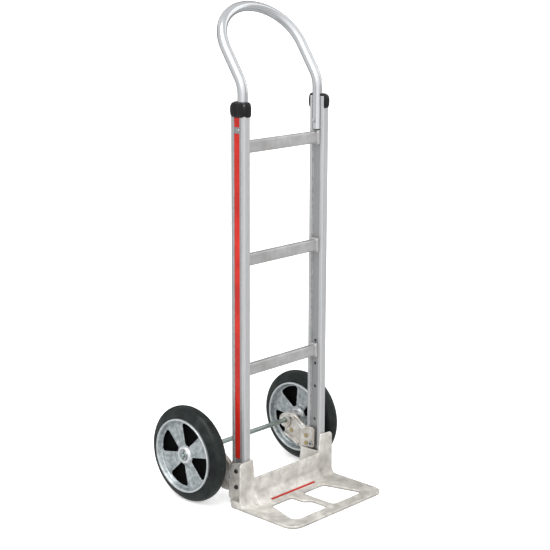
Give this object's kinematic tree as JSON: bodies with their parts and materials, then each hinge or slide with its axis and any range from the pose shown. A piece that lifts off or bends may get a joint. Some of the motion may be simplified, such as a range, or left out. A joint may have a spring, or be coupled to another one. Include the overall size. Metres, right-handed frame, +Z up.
{
  "type": "hand truck",
  "caption": "Upright hand truck with a bent loop handle, ladder frame, cast toe plate with two windows and two spoked wheels on solid tyres.",
  "frame": {"origin": "on the floor under the middle of the truck's whole width and depth, with the truck standing upright on its wheels and toe plate", "axes": "+Z is up, the toe plate points towards -Y, the wheels stand at +Y, and the axle runs along X"},
  "size_m": [0.484, 0.46, 1.2659],
  "materials": {
    "rail_aluminium": "satin extruded",
    "brace_aluminium": "satin cast",
    "handle_aluminium": "bright drawn tube",
    "cast_nose": "rough sand cast",
    "cast_bracket": "rough sand cast",
    "cast_hub": "cast",
    "black_rubber": "smooth moulded",
    "tyre_rubber": "matt moulded",
    "red_vinyl": "smooth",
    "axle_zinc": "zinc plated",
    "yellow_zinc": "yellow zinc plated",
    "steel": "zinc plated",
    "bearing_steel": "ground"
  },
  "bodies": {
    "frame": {"rail_left": "rail_aluminium", "rail_right": "rail_aluminium", "rail_strip_left": "red_vinyl", "rail_strip_right": "red_vinyl", "rail_strip_upper_left": "red_vinyl", "rail_strip_upper_right": "red_vinyl", "rail_cap_left": "black_rubber", "rail_cap_right": "black_rubber", "cross_brace_bottom": "brace_aluminium", "cross_brace_middle": "brace_aluminium", "cross_brace_top": "brace_aluminium", "loop_handle": "handle_aluminium", "nose_plate": "cast_nose", "nose_stripe": "red_vinyl", "wheel_bracket_left": "cast_bracket", "wheel_bracket_right": "cast_bracket", "axle": "axle_zinc", "washer_inner_left": "steel", "washer_inner_right": "steel", "washer_outer_left": "steel", "washer_outer_right": "steel", "bearing_spacer_left": "steel", "bearing_spacer_right": "steel", "cotter_pin_left": "steel", "cotter_pin_right": "steel", "brace_bolt_bottom_left": "steel", "brace_bolt_bottom_right": "steel", "brace_bolt_middle_left": "steel", "brace_bolt_middle_right": "steel", "brace_bolt_top_left": "steel", "brace_bolt_top_right": "steel", "handle_bolt_left": "steel", "handle_bolt_right": "steel", "handle_nut_left": "steel", "handle_nut_right": "steel", "nose_bolt_lower_left": "steel", "nose_bolt_lower_right": "steel", "nose_bolt_upper_left": "steel", "nose_bolt_upper_right": "steel", "nose_nut_lower_left": "steel", "nose_nut_lower_right": "steel", "nose_nut_upper_left": "steel", "nose_nut_upper_right": "steel", "bracket_bolt_lower_left": "yellow_zinc", "bracket_bolt_lower_right": "yellow_zinc", "bracket_bolt_upper_left": "yellow_zinc", "bracket_bolt_upper_right": "yellow_zinc", "bracket_bolt_arm_left": "yellow_zinc", "bracket_bolt_arm_right": "yellow_zinc"},
    "wheel_left": {"hub_left": "cast_hub", "tyre_left": "tyre_rubber", "bearing_inner_left": "bearing_steel", "bearing_outer_left": "bearing_steel"},
    "wheel_right": {"hub_right": "cast_hub", "tyre_right": "tyre_rubber", "bearing_inner_right": "bearing_steel", "bearing_outer_right": "bearing_steel"}
  },
  "joints": [
    {"name": "wheel_left_spin", "type": "hinge", "parent": "frame", "child": "wheel_left", "pos_m": [-0.213, 0.103, 0.127], "axis": [1, 0, 0], "continuous": true},
    {"name": "wheel_right_spin", "type": "hinge", "parent": "frame", "child": "wheel_right", "pos_m": [0.213, 0.103, 0.127], "axis": [1, 0, 0], "continuous": true}
  ]
}
